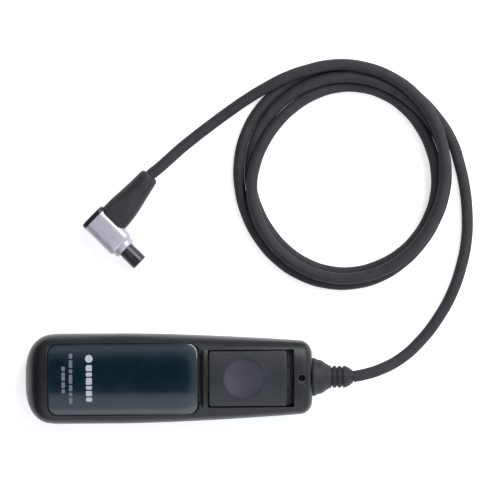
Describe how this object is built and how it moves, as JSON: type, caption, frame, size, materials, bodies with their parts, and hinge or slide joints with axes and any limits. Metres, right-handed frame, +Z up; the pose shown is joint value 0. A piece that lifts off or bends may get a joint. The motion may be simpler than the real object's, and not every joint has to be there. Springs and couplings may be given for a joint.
{
  "type": "cable shutter release",
  "caption": "Wired camera shutter release: a pebble-shaped black handset with a sliding thumb button, a thin coiled cord and a right-angle locking plug.",
  "frame": {"origin": "centre of the handset's flat underside, on the surface that everything lies on", "axes": "+X along the handset towards its cord, +Y across it towards the coiled cord, +Z up out of the button"},
  "size_m": [0.1416, 0.1139, 0.0175],
  "materials": {
    "case_black": "fine-textured black moulded plastic",
    "plate_gloss": "glossy black with pale printed marks",
    "button_grey": "satin charcoal moulded plastic",
    "carrier_plastic": "black moulded plastic",
    "screw_steel": "plated steel",
    "screw_black": "blackened steel",
    "spring_steel": "bright spring steel",
    "insulator": "phenolic board",
    "contact_brass": "phosphor bronze",
    "contact_gold": "gold-plated",
    "wire_white": "white insulation",
    "wire_red": "red insulation",
    "wire_black": "black insulation",
    "cord_rubber": "satin charcoal vinyl",
    "boot_rubber": "satin black rubber",
    "plug_plastic": "black moulded plastic",
    "sleeve_metal": "satin silver"
  },
  "bodies": {
    "handset": {"upper_case": "case_black", "lower_case": "case_black", "name_plate": "plate_gloss", "case_screws": "screw_steel", "return_springs": "spring_steel", "contact_base": "insulator", "contact_spacers": "insulator", "contact_clamp_plate": "spring_steel", "contact_stack_screws": "screw_steel", "common_contact": "contact_brass", "focus_contact": "contact_brass", "release_contact": "contact_brass", "common_wire": "wire_white", "focus_wire": "wire_red", "release_wire": "wire_black", "cord_gland": "cord_rubber", "gland_screw": "screw_black", "cord_lead": "cord_rubber", "cord_coil": "cord_rubber", "cord_tail": "cord_rubber", "plug_boot": "boot_rubber", "plug_body": "plug_plastic", "plug_contact_sockets": "contact_gold", "plug_lock_claws": "spring_steel", "plug_lock_spring": "spring_steel"},
    "carrier": {"button_carrier": "carrier_plastic", "lock_detent_spring": "spring_steel"},
    "release_button": {"button": "button_grey"},
    "pull_sleeve": {"plug_sleeve": "sleeve_metal", "plug_end_cap": "plug_plastic"}
  },
  "joints": [
    {"name": "button_press", "type": "slide", "parent": "handset", "child": "carrier", "axis": [0, 0, -1], "range_m": [0, 0.0022], "stiffness_N_per_m": 700, "springref_m": -0.0015, "deforming": ["return_springs", "common_contact", "focus_contact", "release_contact"]},
    {"name": "bulb_lock", "type": "slide", "parent": "carrier", "child": "release_button", "axis": [1, 0, 0], "range_m": [0, 0.002], "deforming": ["lock_detent_spring"]},
    {"name": "sleeve_pull", "type": "slide", "parent": "handset", "child": "pull_sleeve", "axis": [-0.7071, 0.7071, 0], "range_m": [0, 0.0012], "stiffness_N_per_m": 900, "springref_m": -0.001, "deforming": ["plug_lock_spring"]}
  ]
}
